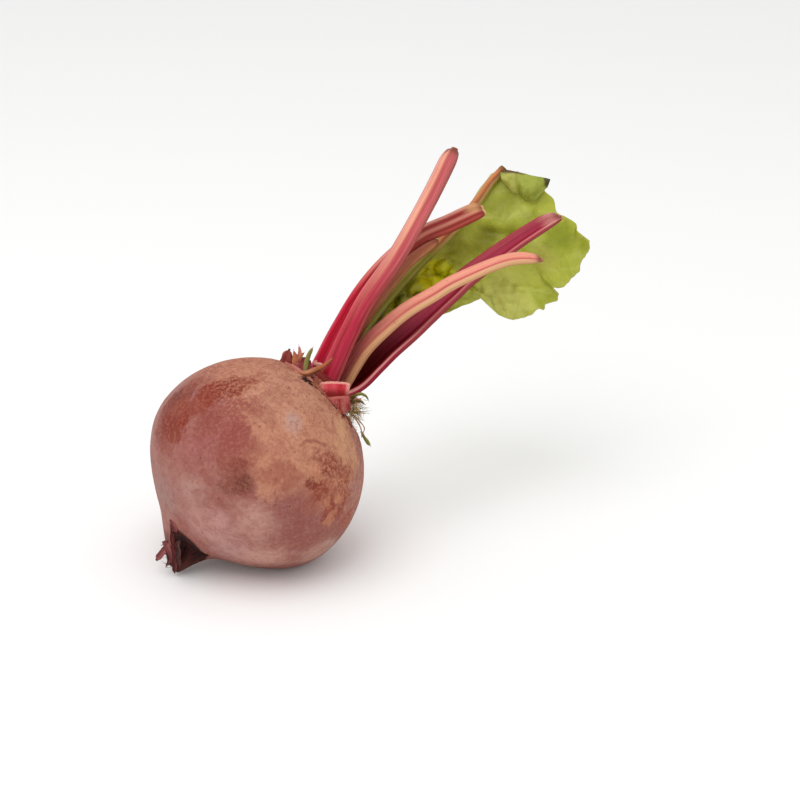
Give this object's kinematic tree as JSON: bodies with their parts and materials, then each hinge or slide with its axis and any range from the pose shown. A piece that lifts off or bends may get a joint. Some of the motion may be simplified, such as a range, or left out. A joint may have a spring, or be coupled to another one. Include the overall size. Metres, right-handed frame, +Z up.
{
  "type": "beetroot",
  "caption": "Round red-skinned root lying tilted on a small flat spot, with a short torn tail, a crown of cut leaf bases, trimmed leaf stalks and one leaf torn off halfway up.",
  "frame": {"origin": "centre of the small flat spot under the root, on the surface that it lies on", "axes": "+Z up, +X to the side that the cut stalks point to, +Y to the back, where the leaf is"},
  "size_m": [0.158, 0.1343, 0.1367],
  "materials": {
    "skin": "dull mauve-red skin with tan corky patches near the crown",
    "crown": "moist dark crimson flesh of cut leaf bases",
    "stalk": "smooth pink to crimson stalk skin with a soft shine",
    "leaf": "yellow-green leaf with a soft shine"
  },
  "bodies": {
    "root": {"root": "skin", "crown": "crown", "stalk_tall": "stalk", "stalk_bent": "stalk", "stalk_pale": "stalk", "stalk_crimson": "stalk", "stalk_slim": "stalk", "leaf_rib": "stalk", "leaf_blade": "leaf"}
  },
  "joints": []
}
